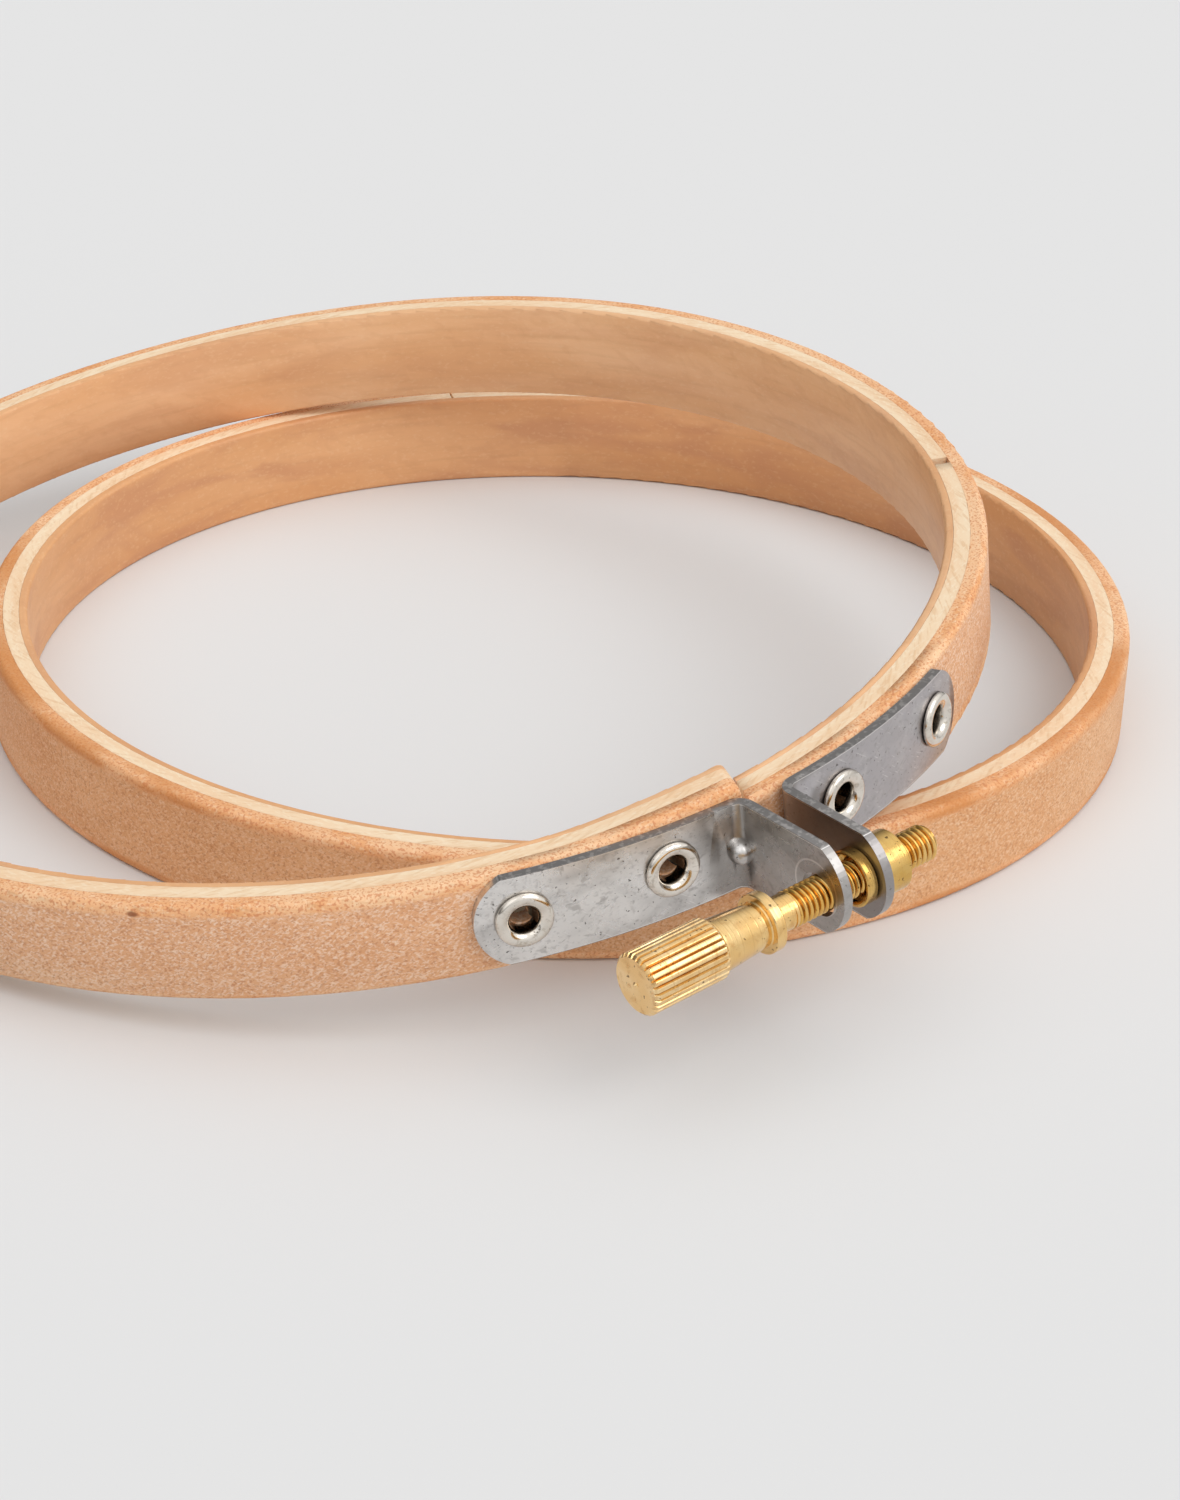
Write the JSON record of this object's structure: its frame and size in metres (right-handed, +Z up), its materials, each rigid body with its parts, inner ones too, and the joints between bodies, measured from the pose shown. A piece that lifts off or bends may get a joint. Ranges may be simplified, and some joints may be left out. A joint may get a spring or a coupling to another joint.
{
  "type": "embroidery hoop",
  "caption": "Two wooden embroidery hoops lying together: a split outer hoop with a thumb-screw clamp, tilted on a plain inner hoop.",
  "frame": {"origin": "centre of the inner hoop's underside, on the surface that it lies on", "axes": "+Z up along the inner hoop's axis; the outer hoop lies towards -X and -Y, with its thumb screw towards -Y"},
  "size_m": [0.1229, 0.1246, 0.0231],
  "materials": {
    "tan_ply": "sanded, waxed",
    "pale_ply": "sanded",
    "speckled_ply": "sanded, waxed, speckled grain",
    "steel": "stamped, lightly worn",
    "brass": "turned, lightly pitted"
  },
  "bodies": {
    "inner_hoop": {"inner_hoop_inner_ply": "tan_ply", "inner_hoop_core_ply": "pale_ply", "inner_hoop_outer_ply": "speckled_ply"},
    "outer_hoop": {"outer_hoop_inner_ply": "tan_ply", "outer_hoop_short_core_ply": "pale_ply", "outer_hoop_long_core_ply": "pale_ply", "outer_hoop_outer_ply": "speckled_ply", "left_bracket": "steel", "left_near_eyelet": "steel", "left_far_eyelet": "steel"},
    "right_clamp": {"right_bracket": "steel", "right_near_eyelet": "steel", "right_far_eyelet": "steel", "barrel_nut": "brass"},
    "thumb_screw": {"thumb_screw": "brass"}
  },
  "joints": [
    {"name": "hoop_lift", "type": "slide", "parent": "inner_hoop", "child": "outer_hoop", "axis": [0, 0, 1], "range_m": [0, 0.03]},
    {"name": "hoop_flex", "type": "hinge", "parent": "outer_hoop", "child": "right_clamp", "pos_m": [-0.04813, 0.03354, 0.01068], "axis": [-0.1181, -0.0633, 0.991], "range_deg": [-0.45, 0.5], "deforming": ["outer_hoop_inner_ply", "outer_hoop_short_core_ply", "outer_hoop_long_core_ply", "outer_hoop_outer_ply"]},
    {"name": "screw_turn", "type": "hinge", "parent": "outer_hoop", "child": "thumb_screw", "pos_m": [0.02242, -0.05914, 0.01307], "axis": [0.7899, 0.604, 0.1063], "range_deg": [-720, 648]}
  ],
  "couplings": [
    {"joint": "hoop_flex", "follows": "screw_turn", "ratio": -0.00068307}
  ]
}
